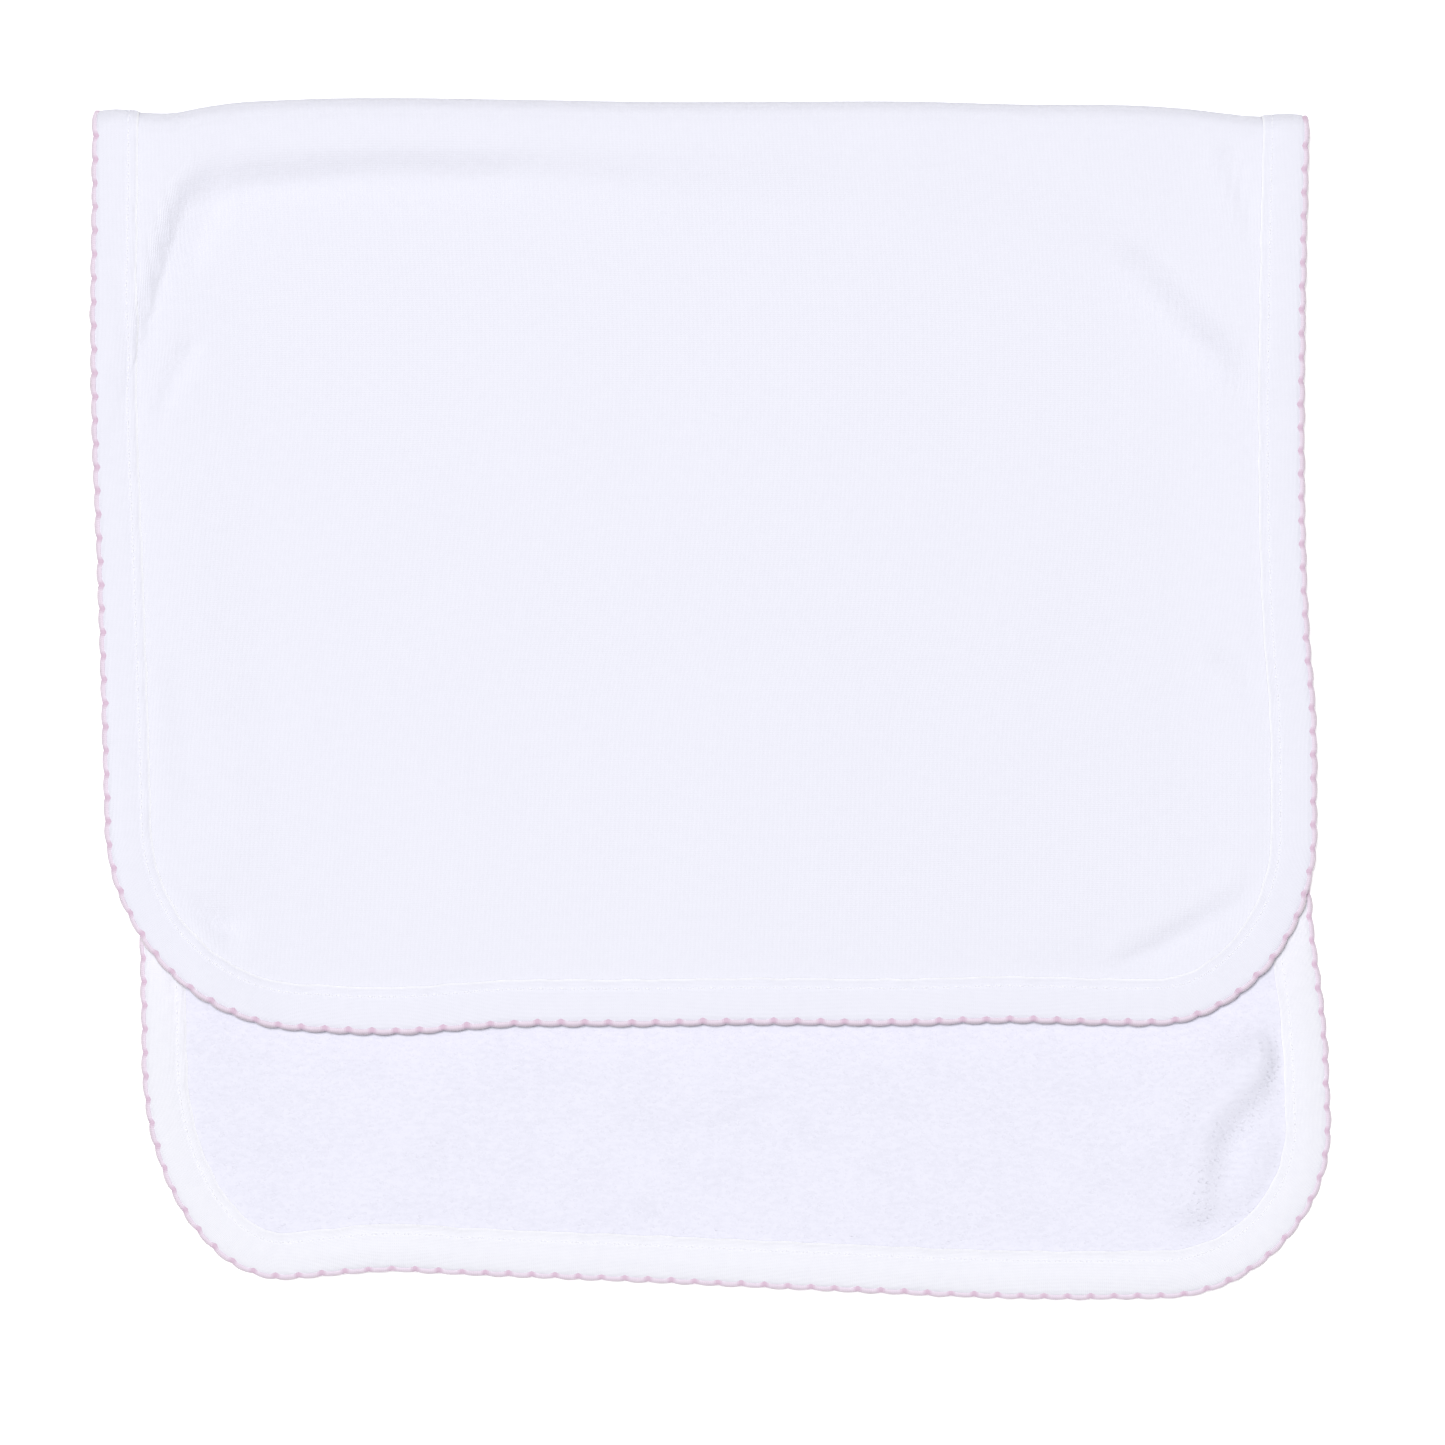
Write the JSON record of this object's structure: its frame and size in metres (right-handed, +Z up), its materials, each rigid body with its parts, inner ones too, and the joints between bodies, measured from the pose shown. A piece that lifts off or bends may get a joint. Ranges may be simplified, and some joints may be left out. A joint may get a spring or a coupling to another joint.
{
  "type": "folded burp cloth",
  "caption": "Baby's burp cloth with a knit face, terry lining, bound rounded edge and scalloped thread trim, folded once and lying flat.",
  "frame": {"origin": "centre of the footprint at the surface that the cloth lies on", "axes": "+X along the fold, +Y from the front hem towards the fold, +Z up out of the surface"},
  "size_m": [0.3135, 0.3027, 0.014],
  "materials": {
    "white_knit": "fine cotton interlock knit, matt",
    "white_terry": "short looped cotton terry, matt",
    "white_binding": "fine cotton knit strip, topstitched",
    "pink_thread": "soft twisted thread, slight sheen"
  },
  "bodies": {
    "root": {"knit_face": "white_knit", "terry_lining": "white_terry", "edge_binding": "white_binding", "scalloped_edging": "pink_thread"}
  },
  "joints": []
}
